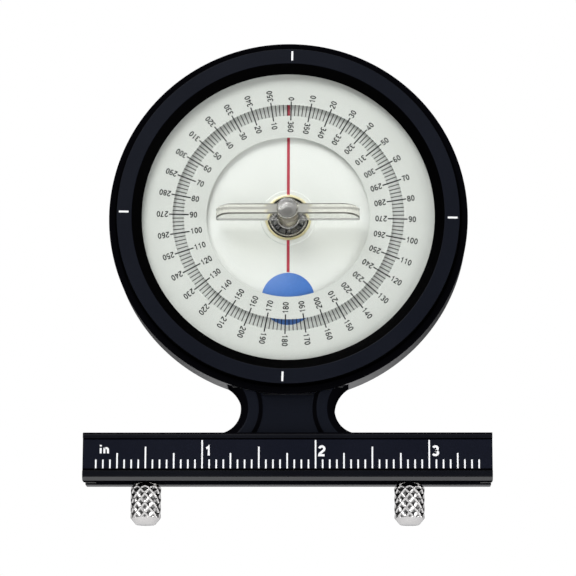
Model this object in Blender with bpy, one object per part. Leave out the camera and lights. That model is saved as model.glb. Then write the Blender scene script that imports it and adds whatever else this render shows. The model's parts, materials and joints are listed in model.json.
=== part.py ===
"""Gravity goniometer (inclinometer) with a turning dial and two adjustable feet.

Units: the constants below are millimetres, and every object is built in metres.
Frame: +Z up, the dial faces -Y, and the origin is on the dial's axis at the
back face of the case, where a hand holds it.
"""
import math

import bmesh
import bpy
from mathutils import Matrix, Vector

MM = 0.001

# ---- case -----------------------------------------------------------------
CASE_R = 41.05           # outside radius of the round case
CASE_EDGE = 0.3          # broken edges of the case
CASE_FRONT_Y = -9.7      # front land of the case
CASE_BORE_R = 39.3       # bore the bezel turns in
CASE_FLOOR_R = 38.0      # bore below the retaining ring
CASE_FLOOR_Y = -1.5      # inside face of the back wall
RING_GROOVE_R = 40.0     # retaining ring groove
RING_GROOVE_Y0 = -3.3
RING_GROOVE_Y1 = -4.0
RING_IN_R = 37.6
AXLE_HOLE_R = 2.05       # hole for the axle's screw, and the sink for its head
AXLE_SINK_R = 3.3
AXLE_SINK_Y = -0.8

# ---- neck -----------------------------------------------------------------
NECK_HALF = 10.6         # half width at the waist
NECK_WAIST_Z = -44.35
NECK_UPPER_R = 6.6       # side arcs above and below the waist
NECK_LOWER_R = 5.57
NECK_TOP_Z = -38.5       # top of the neck, inside the case wall
NECK_FOOT = 0.3          # straight run where the neck meets the bar
NECK_FRONT_Y = -9.0
NECK_BACK_Y = -0.6
NECK_SHOULDER_Y = -7.95  # where the chamfer outside each rib starts
NECK_RIB_OUT = 2.0       # width of that chamfer
NECK_PANEL_IN = 5.3      # distance from the side arc to the panel's edge
NECK_WALL = 1.0          # width of the panel's sloping wall
NECK_PANEL_DEPTH = 0.8

# ---- base bar -------------------------------------------------------------
BAR_HALF = 45.9
BAR_TOP_Z = -50.2
BAR_BOT_Z = -61.0
BAR_FRONT_Y = -11.7
BAR_BACK_Y = 0.0
BAR_CHAMFER = 0.8
BAR_EDGE = 0.15
STRIP_TOP_Z = -51.75     # recess for the ruled strip
STRIP_BOT_Z = -58.75
STRIP_DEPTH = 0.45
STRIP_HALF = 45.75
STRIP_GAP = 0.05         # play round the strip in its recess
STRIP_FACE_Y = -11.62
STRIP_CORNER_R = 0.6
SLOT_Y = -5.85           # middle of the tee slot
SLOT_OPEN_HALF = 2.1
SLOT_LIP_Z = -59.4
SLOT_CHAMBER_HALF = 3.5
SLOT_ROOF_Z = -55.9
BAR_SCREW_X = 7.0
BAR_SCREW_R = 1.45
BAR_SCREW_HEAD_R = 2.75
BAR_SCREW_TOP_Z = -45.0
PLUG_LEN = 2.4
PLUG_GAP = 0.03
PLUG_BOT_Z = -60.65

# ---- bezel, lens and scale ------------------------------------------------
BEZEL_R = 39.2
BEZEL_FACE_Y = -11.7
BEZEL_EDGE = 0.12        # broken outer edge of the face
BEZEL_FACE_IN_R = 35.75
BEZEL_SKIRT_Y = -4.2
BEZEL_SKIRT_R = 36.6
LIP_R = 33.45
LENS_FRONT_Y = -10.2
LENS_BACK_Y = -8.7
LENS_R = 34.9
SCALE_IN_R = 18.7
SCALE_BACK_Y = -8.5
LENS_POCKET_R = 35.0
LENS_POCKET_Y = -8.46
KEEPER_IN_R = 33.7       # ring that holds the lens against the bezel's lip
KEEPER_T = 1.0
GASKET_GROOVE_R = 38.2
GASKET_Y0 = -6.0
GASKET_Y1 = -7.2

# ---- handle ---------------------------------------------------------------
FIN_HALF = 16.4
FIN_T = 2.4
FIN_TOP_Y = -17.5
FIN_END_Y = -11.9
FIN_CURVE = 3.7
FIN_HUB_R = 2.95
POST_R = 2.4
POST_TOP_Y = -18.2
POST_HOLE_R = 2.43

# ---- pendulum and bearing -------------------------------------------------
PEND_R = 32.0
PEND_FRONT_Y = -7.5
PEND_BACK_Y = -6.3
PEND_BOSS_R = 6.4
PEND_BOSS_Y = -7.8
HUB_IN_R = 4.775
HUB_OUT_R = 5.3
HUB_FLANGE_R = 7.5
HUB_FLANGE_Y = -5.2      # rear face of the flange behind the disc
HUB_FRONT_Y = -7.95
WEIGHT_Z = -18.95
WEIGHT_R = 6.07
WEIGHT_FRONT_Y = -7.62
WEIGHT_BACK_Y = -3.4
BRG_FRONT_Y = -7.8
BRG_W = 3.967
BRG_OD_R = 4.7625
BRG_BORE_R = 1.5875
BALL_R = 0.775
BALL_N = 7
PITCH_R = 3.175
GROOVE_R = 0.81
INNER_R = 2.62
OUTER_R = 3.73
CAGE_IN_R = 2.8
CAGE_OUT_R = 3.55
CAGE_REAR = 1.15         # how far the cage runs behind and before the balls' middle
CAGE_FRONT = 1.0

# ---- axle -----------------------------------------------------------------
AXLE_R = 1.57            # seat of the inner race
AXLE_STEM_R = 2.3
AXLE_FLANGE_R = 4.2      # flange against the inside of the back wall
AXLE_FLANGE_Y = -2.6
AXLE_SPIGOT_R = 2.0
AXLE_SPIGOT_Y = -0.85
REAR_HOLE_R = 1.03
REAR_HOLE_Y = -3.9
REAR_SCREW_R = 1.0
REAR_HEAD_R = 3.0
REAR_HEAD_Y = -0.1
NOSE_HOLE_R = 0.83
NOSE_HOLE_Y = -5.2
NOSE_SCREW_R = 0.8
NOSE_HEAD_R = 2.2
NOSE_HEAD_T = 0.55

# ---- feet -----------------------------------------------------------------
FOOT_R = 3.4
FOOT_TOP_R = 2.4
FOOT_TOP_Z = -61.05
FOOT_SHOULDER_Z = -61.95
FOOT_KNURL_Z = -68.7
FOOT_END_Z = -70.3
FOOT_END_R = 2.2
FOOT_BORE_Z = -66.0      # bottom of the hole for the stud
FOOT_X = {"left": -31.95, "right": 27.4}
STUD_R = 1.45
STUD_TOP_Z = -56.5
NUT_HALF_X = 4.0
NUT_HALF_Y = 3.2
NUT_BOT_Z = -59.35
NUT_TOP_Z = -57.1

# ---- facets ---------------------------------------------------------------
BIG = 64
MID = 32
SMALL = 16
GROOVE_STEPS = 5
SHARP = math.radians(35.0)


def clear_scene():
    for ob in list(bpy.data.objects):
        bpy.data.objects.remove(ob, do_unlink=True)


MATERIALS = {
    "anodised": ((0.014, 0.016, 0.028, 1.0), 0.9, 0.36),
    "ruled_strip": ((0.016, 0.019, 0.036, 1.0), 0.7, 0.42),
    "steel": ((0.62, 0.62, 0.63, 1.0), 1.0, 0.28),
    "black_oxide": ((0.03, 0.03, 0.032, 1.0), 0.9, 0.35),
    "brass": ((0.78, 0.6, 0.27, 1.0), 1.0, 0.25),
    "clear": ((0.93, 0.95, 0.93, 0.35), 0.0, 0.05),
    "white_print": ((0.82, 0.82, 0.8, 1.0), 0.0, 0.5),
    "white_plastic": ((0.86, 0.87, 0.85, 1.0), 0.0, 0.45),
    "blue_paint": ((0.06, 0.19, 0.56, 1.0), 0.0, 0.4),
    "black_rubber": ((0.02, 0.02, 0.02, 1.0), 0.0, 0.8),
    "black_plastic": ((0.02, 0.02, 0.022, 1.0), 0.0, 0.5),
}
_made = {}


def material(name):
    if name not in _made:
        colour, metallic, rough = MATERIALS[name]
        mat = bpy.data.materials.new(name)
        mat.use_nodes = True
        bsdf = mat.node_tree.nodes["Principled BSDF"]
        bsdf.inputs["Base Color"].default_value = colour
        bsdf.inputs["Metallic"].default_value = metallic
        bsdf.inputs["Roughness"].default_value = rough
        mat.diffuse_color = colour
        _made[name] = mat
    return _made[name]


def shade(mesh):
    mesh.shade_smooth()
    mesh.set_sharp_from_angle(angle=SHARP)


def finish(bm, name, slot, location=(0.0, 0.0, 0.0)):
    """Make one object from a bmesh; slot None is for a cutter or a joined piece."""
    bmesh.ops.recalc_face_normals(bm, faces=bm.faces)
    mesh = bpy.data.meshes.new(name)
    bm.to_mesh(mesh)
    bm.free()
    shade(mesh)
    ob = bpy.data.objects.new(name, mesh)
    ob.location = Vector(location) * MM
    bpy.context.scene.collection.objects.link(ob)
    if slot:
        mesh.materials.append(material(slot))
    return ob


def revolve(name, profile, segs, slot, centre=(0.0, 0.0), start=0.0, sweep=360.0, axis="Y"):
    """Turn a closed profile of (radius, position along the axis) points.

    The object's origin is on the turning axis, which centre places.
    """
    bm = bmesh.new()
    full = abs(sweep - 360.0) < 1e-6
    steps = segs if full else segs + 1
    rings = []
    for i in range(steps):
        a = math.radians(start + sweep * i / segs)
        ring = []
        for j, (r, y) in enumerate(profile):
            if r < 1e-9 and i > 0:
                ring.append(rings[0][j])
                continue
            u = r * math.sin(a)
            v = r * math.cos(a)
            if axis == "Y":
                co = (u * MM, y * MM, v * MM)
            else:
                co = (u * MM, v * MM, y * MM)
            ring.append(bm.verts.new(co))
        rings.append(ring)
    n = len(profile)
    for i in range(segs):
        a = rings[i]
        b = rings[(i + 1) % steps] if full else rings[i + 1]
        for j in range(n):
            k = (j + 1) % n
            quad = [a[j], a[k], b[k], b[j]]
            unique = []
            for v in quad:
                if v not in unique:
                    unique.append(v)
            if len(unique) > 2:
                bm.faces.new(unique)
    if not full:
        bm.faces.new(rings[0])
        bm.faces.new(list(reversed(rings[-1])))
    if axis == "Y":
        place = (centre[0], 0.0, centre[1])
    else:
        place = (centre[0], centre[1], 0.0)
    return finish(bm, name, slot, place)


def prism(name, outline, lo, hi, slot, plane="XZ", shrink=None):
    """Extrude an outline; plane XZ runs along Y, XY along Z and YZ along X.

    shrink, when given, is the outline used at the hi end, point for point.
    """
    bm = bmesh.new()
    ends = []
    for pts, d in ((outline, lo), (shrink or outline, hi)):
        ring = []
        for u, v in pts:
            if plane == "XZ":
                co = (u * MM, d * MM, v * MM)
            elif plane == "XY":
                co = (u * MM, v * MM, d * MM)
            else:
                co = (d * MM, u * MM, v * MM)
            ring.append(bm.verts.new(co))
        ends.append(ring)
    n = len(outline)
    for j in range(n):
        k = (j + 1) % n
        bm.faces.new([ends[0][j], ends[0][k], ends[1][k], ends[1][j]])
    bm.faces.new(ends[0])
    bm.faces.new(list(reversed(ends[1])))
    return finish(bm, name, slot)


def rod(name, r, lo, hi, segs, slot, centre=(0.0, 0.0), axis="Y"):
    return revolve(name, [(0.0, lo), (r, lo), (r, hi), (0.0, hi)], segs, slot, centre, axis=axis)


def boolean(target, cutter, mode="DIFFERENCE"):
    """Apply one exact boolean and remove the cutter."""
    mod = target.modifiers.new("cut", "BOOLEAN")
    mod.operation = mode
    mod.solver = "EXACT"
    mod.object = cutter
    dg = bpy.context.evaluated_depsgraph_get()
    done = bpy.data.meshes.new_from_object(target.evaluated_get(dg))
    target.modifiers.remove(mod)
    old = target.data
    name = old.name
    target.data = done
    bpy.data.meshes.remove(old)
    done.name = name
    shade(done)
    bpy.data.objects.remove(cutter, do_unlink=True)
    return target


def arc(cx, cz, r, a0, a1, n):
    """Points on an arc, angles in degrees from +X towards the second axis."""
    pts = []
    for i in range(n + 1):
        a = math.radians(a0 + (a1 - a0) * i / n)
        pts.append((cx + r * math.cos(a), cz + r * math.sin(a)))
    return pts


def waist(offset, bottom_z, n=7):
    """A waisted outline, offset inwards, between one upper and one lower arc each side."""
    upper = NECK_UPPER_R + offset
    lower = NECK_LOWER_R + offset
    up = math.degrees(math.asin((NECK_TOP_Z - NECK_WAIST_Z) / upper))
    down = math.degrees(math.asin((bottom_z + NECK_FOOT - NECK_WAIST_Z) / lower))
    right = arc(NECK_HALF + NECK_LOWER_R, NECK_WAIST_Z, lower, 180.0 - down, 180.0, n)
    right.insert(0, (right[0][0], bottom_z))
    right += arc(NECK_HALF + NECK_UPPER_R, NECK_WAIST_Z, upper, 180.0, 180.0 - up, n)[1:]
    left = [(-x, z) for x, z in reversed(right)]
    return right + left


# ---- case with its neck ---------------------------------------------------
def make_housing():
    profile = [
        (0.0, 0.0),
        (CASE_R - CASE_EDGE, 0.0),
        (CASE_R, -CASE_EDGE),
        (CASE_R, CASE_FRONT_Y + CASE_EDGE),
        (CASE_R - CASE_EDGE, CASE_FRONT_Y),
        (CASE_BORE_R, CASE_FRONT_Y),
        (CASE_BORE_R, RING_GROOVE_Y1),
        (RING_GROOVE_R, RING_GROOVE_Y1),
        (RING_GROOVE_R, RING_GROOVE_Y0),
        (CASE_FLOOR_R, RING_GROOVE_Y0),
        (CASE_FLOOR_R, CASE_FLOOR_Y),
        (0.0, CASE_FLOOR_Y),
    ]
    case = revolve("housing", profile, BIG, "anodised")
    foot = BAR_TOP_Z + 0.02
    edge = waist(0.0, foot)
    neck = prism("neck", edge, NECK_BACK_Y, NECK_SHOULDER_Y, None)
    cap = prism("neck_cap", edge, NECK_SHOULDER_Y, NECK_FRONT_Y, None,
                shrink=waist(NECK_RIB_OUT, foot))
    neck = boolean(neck, cap, "UNION")
    # the panel's cutter runs past the front face, so its slope goes on there
    past = 0.4
    slope = NECK_WALL * (NECK_PANEL_DEPTH + past) / NECK_PANEL_DEPTH
    panel = prism("panel", waist(NECK_PANEL_IN, foot - 0.5),
                  NECK_FRONT_Y + NECK_PANEL_DEPTH, NECK_FRONT_Y - past, None,
                  shrink=waist(NECK_PANEL_IN - slope, foot - 0.5))
    neck = boolean(neck, panel)
    # the neck ends inside the case wall, outside the ring groove
    core = rod("core", RING_GROOVE_R + 0.15, 1.0, -12.0, BIG, None)
    neck = boolean(neck, core)
    case = boolean(case, neck, "UNION")
    for side in (-1, 1):
        hole = rod("hole", BAR_SCREW_R + 0.03, foot - 1.0, BAR_SCREW_TOP_Z + 0.6, SMALL, None,
                   centre=(side * BAR_SCREW_X, SLOT_Y), axis="Z")
        case = boolean(case, hole)
    bore = rod("bore", AXLE_HOLE_R, 1.0, -3.0, SMALL, None)
    case = boolean(case, bore)
    sink = rod("sink", AXLE_SINK_R, 1.0, AXLE_SINK_Y, MID, None)
    case = boolean(case, sink)
    return case


# ---- base bar and what it carries ----------------------------------------
def make_bar():
    f = BAR_FRONT_Y
    outline = [
        (BAR_BACK_Y, BAR_TOP_Z),
        (f, BAR_TOP_Z),
        (f, STRIP_TOP_Z),
        (f + STRIP_DEPTH, STRIP_TOP_Z),
        (f + STRIP_DEPTH, STRIP_BOT_Z),
        (f, STRIP_BOT_Z),
        (f, BAR_BOT_Z + BAR_CHAMFER),
        (f + BAR_CHAMFER, BAR_BOT_Z),
        (SLOT_Y - SLOT_OPEN_HALF, BAR_BOT_Z),
        (SLOT_Y - SLOT_OPEN_HALF, SLOT_LIP_Z),
        (SLOT_Y - SLOT_CHAMBER_HALF, SLOT_LIP_Z),
        (SLOT_Y - SLOT_CHAMBER_HALF, SLOT_ROOF_Z),
        (SLOT_Y + SLOT_CHAMBER_HALF, SLOT_ROOF_Z),
        (SLOT_Y + SLOT_CHAMBER_HALF, SLOT_LIP_Z),
        (SLOT_Y + SLOT_OPEN_HALF, SLOT_LIP_Z),
        (SLOT_Y + SLOT_OPEN_HALF, BAR_BOT_Z),
        (BAR_BACK_Y - BAR_EDGE, BAR_BOT_Z),
        (BAR_BACK_Y, BAR_BOT_Z + BAR_EDGE),
    ]
    bar = prism("base_bar", outline, -BAR_HALF, BAR_HALF, "anodised", plane="YZ")
    for side in (-1, 1):
        hole = rod("hole", BAR_SCREW_R + 0.1, SLOT_ROOF_Z - 0.5, BAR_TOP_Z + 1.0, SMALL, None,
                   centre=(side * BAR_SCREW_X, SLOT_Y), axis="Z")
        bar = boolean(bar, hole)
        sink = rod("sink", BAR_SCREW_HEAD_R + 0.15, SLOT_ROOF_Z - 0.5, SLOT_ROOF_Z + 1.9, SMALL,
                   None, centre=(side * BAR_SCREW_X, SLOT_Y), axis="Z")
        bar = boolean(bar, sink)
    return bar


def rounded_box(hx, z0, z1, r, n=4):
    pts = []
    pts += arc(hx - r, z1 - r, r, 0.0, 90.0, n)
    pts += arc(-hx + r, z1 - r, r, 90.0, 180.0, n)
    pts += arc(-hx + r, z0 + r, r, 180.0, 270.0, n)
    pts += arc(hx - r, z0 + r, r, 270.0, 360.0, n)
    return pts


def make_strip():
    outline = rounded_box(STRIP_HALF, STRIP_BOT_Z + STRIP_GAP, STRIP_TOP_Z - STRIP_GAP,
                          STRIP_CORNER_R)
    prism("ruler_strip", outline, BAR_FRONT_Y + STRIP_DEPTH - 0.02, STRIP_FACE_Y, "ruled_strip")


def make_bar_screws():
    for name, side in (("left", -1), ("right", 1)):
        top = SLOT_ROOF_Z + 1.85
        profile = [
            (0.0, SLOT_ROOF_Z + 0.9),
            (1.25, SLOT_ROOF_Z + 0.9),
            (1.25, SLOT_ROOF_Z + 0.15),
            (BAR_SCREW_HEAD_R, SLOT_ROOF_Z + 0.15),
            (BAR_SCREW_HEAD_R, top),
            (BAR_SCREW_R, top),
            (BAR_SCREW_R, BAR_SCREW_TOP_Z),
            (0.0, BAR_SCREW_TOP_Z),
        ]
        revolve("bar_screw_" + name, profile, SMALL, "black_oxide",
                centre=(side * BAR_SCREW_X, SLOT_Y), axis="Z")


def make_plugs():
    g = PLUG_GAP
    a = SLOT_OPEN_HALF - g
    b = SLOT_CHAMBER_HALF - g
    outline = [
        (SLOT_Y - a, PLUG_BOT_Z),
        (SLOT_Y - a, SLOT_LIP_Z + g),
        (SLOT_Y - b, SLOT_LIP_Z + g),
        (SLOT_Y - b, SLOT_ROOF_Z - g),
        (SLOT_Y + b, SLOT_ROOF_Z - g),
        (SLOT_Y + b, SLOT_LIP_Z + g),
        (SLOT_Y + a, SLOT_LIP_Z + g),
        (SLOT_Y + a, PLUG_BOT_Z),
    ]
    end = BAR_HALF - 0.05
    prism("slot_plug_left", outline, -end, -end + PLUG_LEN, "black_plastic", plane="YZ")
    prism("slot_plug_right", outline, end - PLUG_LEN, end, "black_plastic", plane="YZ")


def make_feet():
    for name, x in FOOT_X.items():
        foot = [
            (STUD_R + 0.02, FOOT_TOP_Z),
            (FOOT_TOP_R, FOOT_TOP_Z),
            (FOOT_R, FOOT_SHOULDER_Z),
            (FOOT_R, FOOT_KNURL_Z),
            (FOOT_END_R, FOOT_END_Z),
            (0.0, FOOT_END_Z),
            (0.0, FOOT_BORE_Z),
            (STUD_R + 0.02, FOOT_BORE_Z),
        ]
        revolve("foot_" + name, foot, MID, "steel", centre=(x, SLOT_Y), axis="Z")
        rod("foot_stud_" + name, STUD_R, FOOT_BORE_Z + 0.05, STUD_TOP_Z, SMALL, "steel",
            centre=(x, SLOT_Y), axis="Z")
        outline = []
        for sx, sy in ((-1, -1), (1, -1), (1, 1), (-1, 1)):
            outline.append((sx * NUT_HALF_X, sy * NUT_HALF_Y))
        nut = prism("t_nut_" + name, outline, NUT_BOT_Z, NUT_TOP_Z, "steel", plane="XY")
        nut.location = Vector((x, SLOT_Y, 0.0)) * MM
        hole = rod("hole", STUD_R + 0.03, NUT_BOT_Z - 1.0, NUT_TOP_Z + 1.0, SMALL, None,
                   centre=(x, SLOT_Y), axis="Z")
        boolean(nut, hole)


# ---- turning dial ---------------------------------------------------------
def make_dial():
    bezel = [
        (LIP_R, LENS_FRONT_Y - 0.02),
        (BEZEL_FACE_IN_R, BEZEL_FACE_Y),
        (BEZEL_R - BEZEL_EDGE, BEZEL_FACE_Y),
        (BEZEL_R, BEZEL_FACE_Y + BEZEL_EDGE),
        (BEZEL_R, GASKET_Y1),
        (GASKET_GROOVE_R, GASKET_Y1),
        (GASKET_GROOVE_R, GASKET_Y0),
        (BEZEL_R, GASKET_Y0),
        (BEZEL_R, BEZEL_SKIRT_Y),
        (BEZEL_SKIRT_R, BEZEL_SKIRT_Y),
        (BEZEL_SKIRT_R, LENS_POCKET_Y),
        (LENS_POCKET_R, LENS_POCKET_Y),
        (LENS_POCKET_R, LENS_FRONT_Y - 0.02),
    ]
    revolve("bezel_ring", bezel, BIG, "anodised")
    gasket = [
        (GASKET_GROOVE_R + 0.03, GASKET_Y0 - 0.05),
        (CASE_BORE_R - 0.06, GASKET_Y0 - 0.05),
        (CASE_BORE_R - 0.06, GASKET_Y1 + 0.05),
        (GASKET_GROOVE_R + 0.03, GASKET_Y1 + 0.05),
    ]
    revolve("friction_ring", gasket, BIG, "black_rubber")
    lens = [
        (POST_HOLE_R, LENS_BACK_Y),
        (LENS_R, LENS_BACK_Y),
        (LENS_R, LENS_FRONT_Y),
        (POST_HOLE_R, LENS_FRONT_Y),
    ]
    revolve("dial_lens", lens, BIG, "clear")
    scale = [
        (SCALE_IN_R, SCALE_BACK_Y),
        (LENS_R - 0.1, SCALE_BACK_Y),
        (LENS_R - 0.1, LENS_BACK_Y + 0.02),
        (SCALE_IN_R, LENS_BACK_Y + 0.02),
    ]
    revolve("scale_ring", scale, BIG, "white_print")
    keeper = [
        (KEEPER_IN_R, SCALE_BACK_Y + 0.06),
        (BEZEL_SKIRT_R - 0.05, SCALE_BACK_Y + 0.06),
        (BEZEL_SKIRT_R - 0.05, SCALE_BACK_Y + KEEPER_T),
        (KEEPER_IN_R, SCALE_BACK_Y + KEEPER_T),
    ]
    revolve("lens_retainer", keeper, BIG, "black_plastic")


def make_handle():
    base = LENS_FRONT_Y - 0.02
    drop = FIN_END_Y - FIN_TOP_Y
    outline = [(-FIN_HALF, base), (-FIN_HALF, FIN_END_Y)]
    n = 8
    for i in range(1, n + 1):
        t = math.radians(90.0 * i / n)
        outline.append((-FIN_HALF + FIN_CURVE * (1.0 - math.cos(t)), FIN_END_Y - drop * math.sin(t)))
    for i in range(n, 0, -1):
        t = math.radians(90.0 * i / n)
        outline.append((FIN_HALF - FIN_CURVE * (1.0 - math.cos(t)), FIN_END_Y - drop * math.sin(t)))
    outline += [(FIN_HALF, FIN_END_Y), (FIN_HALF, base)]
    fin = prism("handle_fin", outline, -FIN_T / 2, FIN_T / 2, "clear", plane="XY")
    hub = rod("hub", FIN_HUB_R, base, FIN_TOP_Y + 0.1, MID, None)
    fin = boolean(fin, hub, "UNION")
    hole = rod("hole", POST_HOLE_R, base + 1.0, POST_TOP_Y - 1.0, MID, None)
    boolean(fin, hole)
    post = [
        (0.0, LENS_BACK_Y + 0.02),
        (POST_R, LENS_BACK_Y + 0.02),
        (POST_R, POST_TOP_Y + 0.25),
        (POST_R - 0.25, POST_TOP_Y),
        (0.0, POST_TOP_Y),
    ]
    revolve("handle_post", post, MID, "clear")


# ---- pendulum, axle and bearing ------------------------------------------
def groove_points(mid, edge_r, toward):
    """Arc of the ball track between the two edges of a race, low y first."""
    half = math.sqrt(GROOVE_R ** 2 - (PITCH_R - edge_r) ** 2)
    lim = math.asin(half / GROOVE_R)
    pts = []
    for i in range(GROOVE_STEPS + 1):
        a = -lim + 2 * lim * i / GROOVE_STEPS
        pts.append((PITCH_R + toward * GROOVE_R * math.cos(a), mid + GROOVE_R * math.sin(a)))
    return pts


def make_pendulum():
    disc = [
        (HUB_OUT_R + 0.02, PEND_BACK_Y),
        (PEND_R, PEND_BACK_Y),
        (PEND_R, PEND_FRONT_Y),
        (PEND_BOSS_R, PEND_FRONT_Y),
        (PEND_BOSS_R - 0.2, PEND_BOSS_Y),
        (HUB_OUT_R + 0.02, PEND_BOSS_Y),
    ]
    plate = revolve("pendulum_disc", disc, BIG, "white_plastic")
    hole = rod("hole", WEIGHT_R + 0.04, PEND_BACK_Y + 1.0, PEND_FRONT_Y - 1.0, MID, None,
               centre=(0.0, WEIGHT_Z))
    boolean(plate, hole)
    weight = [
        (0.0, WEIGHT_BACK_Y),
        (WEIGHT_R, WEIGHT_BACK_Y),
        (WEIGHT_R, WEIGHT_FRONT_Y + 0.1),
        (WEIGHT_R - 0.1, WEIGHT_FRONT_Y),
        (0.0, WEIGHT_FRONT_Y),
    ]
    revolve("pendulum_weight", weight, MID, "blue_paint", centre=(0.0, WEIGHT_Z))
    hub = [
        (HUB_IN_R, BRG_FRONT_Y + BRG_W),
        (HUB_OUT_R, BRG_FRONT_Y + BRG_W),
        (HUB_OUT_R, HUB_FLANGE_Y),
        (HUB_FLANGE_R, HUB_FLANGE_Y),
        (HUB_FLANGE_R, PEND_BACK_Y + 0.02),
        (HUB_OUT_R, PEND_BACK_Y + 0.02),
        (HUB_OUT_R, HUB_FRONT_Y),
        (HUB_IN_R, HUB_FRONT_Y),
    ]
    revolve("pendulum_hub", hub, MID, "brass")


def make_bearing():
    front = BRG_FRONT_Y
    back = BRG_FRONT_Y + BRG_W
    mid = 0.5 * (front + back)
    c = 0.2
    inner = [
        (BRG_BORE_R, front),
        (INNER_R - 0.05, front),
        (INNER_R, front + 0.05),
    ]
    inner += groove_points(mid, INNER_R, -1)
    inner += [
        (INNER_R, back - 0.05),
        (INNER_R - 0.05, back),
        (BRG_BORE_R, back),
    ]
    revolve("bearing_inner_race", inner, MID, "steel")
    outer = [
        (OUTER_R, front + 0.05),
        (OUTER_R + 0.05, front),
        (BRG_OD_R - c, front),
        (BRG_OD_R, front + c),
        (BRG_OD_R, back - c),
        (BRG_OD_R - c, back),
        (OUTER_R + 0.05, back),
        (OUTER_R, back - 0.05),
    ]
    outer += list(reversed(groove_points(mid, OUTER_R, 1)))
    revolve("bearing_outer_race", outer, MID, "steel")
    ring = [
        (CAGE_IN_R, mid + CAGE_REAR),
        (CAGE_OUT_R, mid + CAGE_REAR),
        (CAGE_OUT_R, mid - CAGE_FRONT),
        (CAGE_IN_R, mid - CAGE_FRONT),
    ]
    cage = revolve("bearing_cage", ring, 42, "steel")
    for i in range(BALL_N):
        a = math.radians(180.0 + 360.0 * i / BALL_N)
        bm = bmesh.new()
        bmesh.ops.create_uvsphere(bm, u_segments=10, v_segments=8, radius=BALL_R * MM)
        place = (PITCH_R * math.sin(a), mid, PITCH_R * math.cos(a))
        finish(bm, "ball_%d" % (i + 1), "black_oxide", place)
        pocket = []
        r = BALL_R + 0.05
        for j in range(7):
            t = math.radians(180.0 * j / 6)
            pocket.append((r * math.cos(t), mid + r * math.sin(t)))
        pocket += [(-r, mid - 2.0), (r, mid - 2.0)]
        cutter = prism("pocket", pocket, 1.5, 5.0, None, plane="XY")
        turn = Matrix.Rotation(a, 4, "Y")
        cutter.data.transform(turn)
        boolean(cage, cutter)


def make_axle():
    back = BRG_FRONT_Y + BRG_W
    stud = [
        (REAR_HOLE_R, AXLE_SPIGOT_Y),
        (AXLE_SPIGOT_R, AXLE_SPIGOT_Y),
        (AXLE_SPIGOT_R, CASE_FLOOR_Y - 0.02),
        (AXLE_FLANGE_R, CASE_FLOOR_Y - 0.02),
        (AXLE_FLANGE_R, AXLE_FLANGE_Y),
        (AXLE_STEM_R, AXLE_FLANGE_Y),
        (AXLE_STEM_R, back + 0.02),
        (AXLE_R, back + 0.02),
        (AXLE_R, BRG_FRONT_Y + 0.02),
        (NOSE_HOLE_R, BRG_FRONT_Y + 0.02),
        (NOSE_HOLE_R, NOSE_HOLE_Y),
        (0.0, NOSE_HOLE_Y),
        (0.0, REAR_HOLE_Y),
        (REAR_HOLE_R, REAR_HOLE_Y),
    ]
    revolve("axle_stud", stud, MID, "steel")
    rear = [
        (0.0, REAR_HOLE_Y + 0.1),
        (REAR_SCREW_R, REAR_HOLE_Y + 0.1),
        (REAR_SCREW_R, AXLE_SINK_Y + 0.02),
        (REAR_HEAD_R, AXLE_SINK_Y + 0.02),
        (REAR_HEAD_R, REAR_HEAD_Y),
        (0.0, REAR_HEAD_Y),
    ]
    revolve("axle_screw", rear, SMALL, "black_oxide")
    nose = [
        (0.0, NOSE_HOLE_Y - 0.1),
        (NOSE_SCREW_R, NOSE_HOLE_Y - 0.1),
        (NOSE_SCREW_R, BRG_FRONT_Y - 0.02),
        (NOSE_HEAD_R, BRG_FRONT_Y - 0.02),
        (NOSE_HEAD_R, BRG_FRONT_Y - NOSE_HEAD_T + 0.15),
        (NOSE_HEAD_R - 0.3, BRG_FRONT_Y - NOSE_HEAD_T),
        (0.0, BRG_FRONT_Y - NOSE_HEAD_T),
    ]
    revolve("bearing_screw", nose, SMALL, "steel")


def make_retaining_ring():
    ring = [
        (RING_IN_R, RING_GROOVE_Y0 - 0.05),
        (RING_GROOVE_R - 0.05, RING_GROOVE_Y0 - 0.05),
        (RING_GROOVE_R - 0.05, RING_GROOVE_Y1 + 0.05),
        (RING_IN_R, RING_GROOVE_Y1 + 0.05),
    ]
    revolve("retaining_ring", ring, 60, "black_oxide", start=187.5, sweep=345.0)


clear_scene()
make_housing()
make_bar()
make_strip()
make_bar_screws()
make_plugs()
make_feet()
make_dial()
make_handle()
make_pendulum()
make_bearing()
make_axle()
make_retaining_ring()
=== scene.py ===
"""Looks of a hand-held gravity goniometer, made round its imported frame.

Every shape below is worked out in millimetres in the frame's own axes: +X along
the base bar, +Z up, and the dial facing -Y with its axis on the Y axis.
"""
import json
import math

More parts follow.
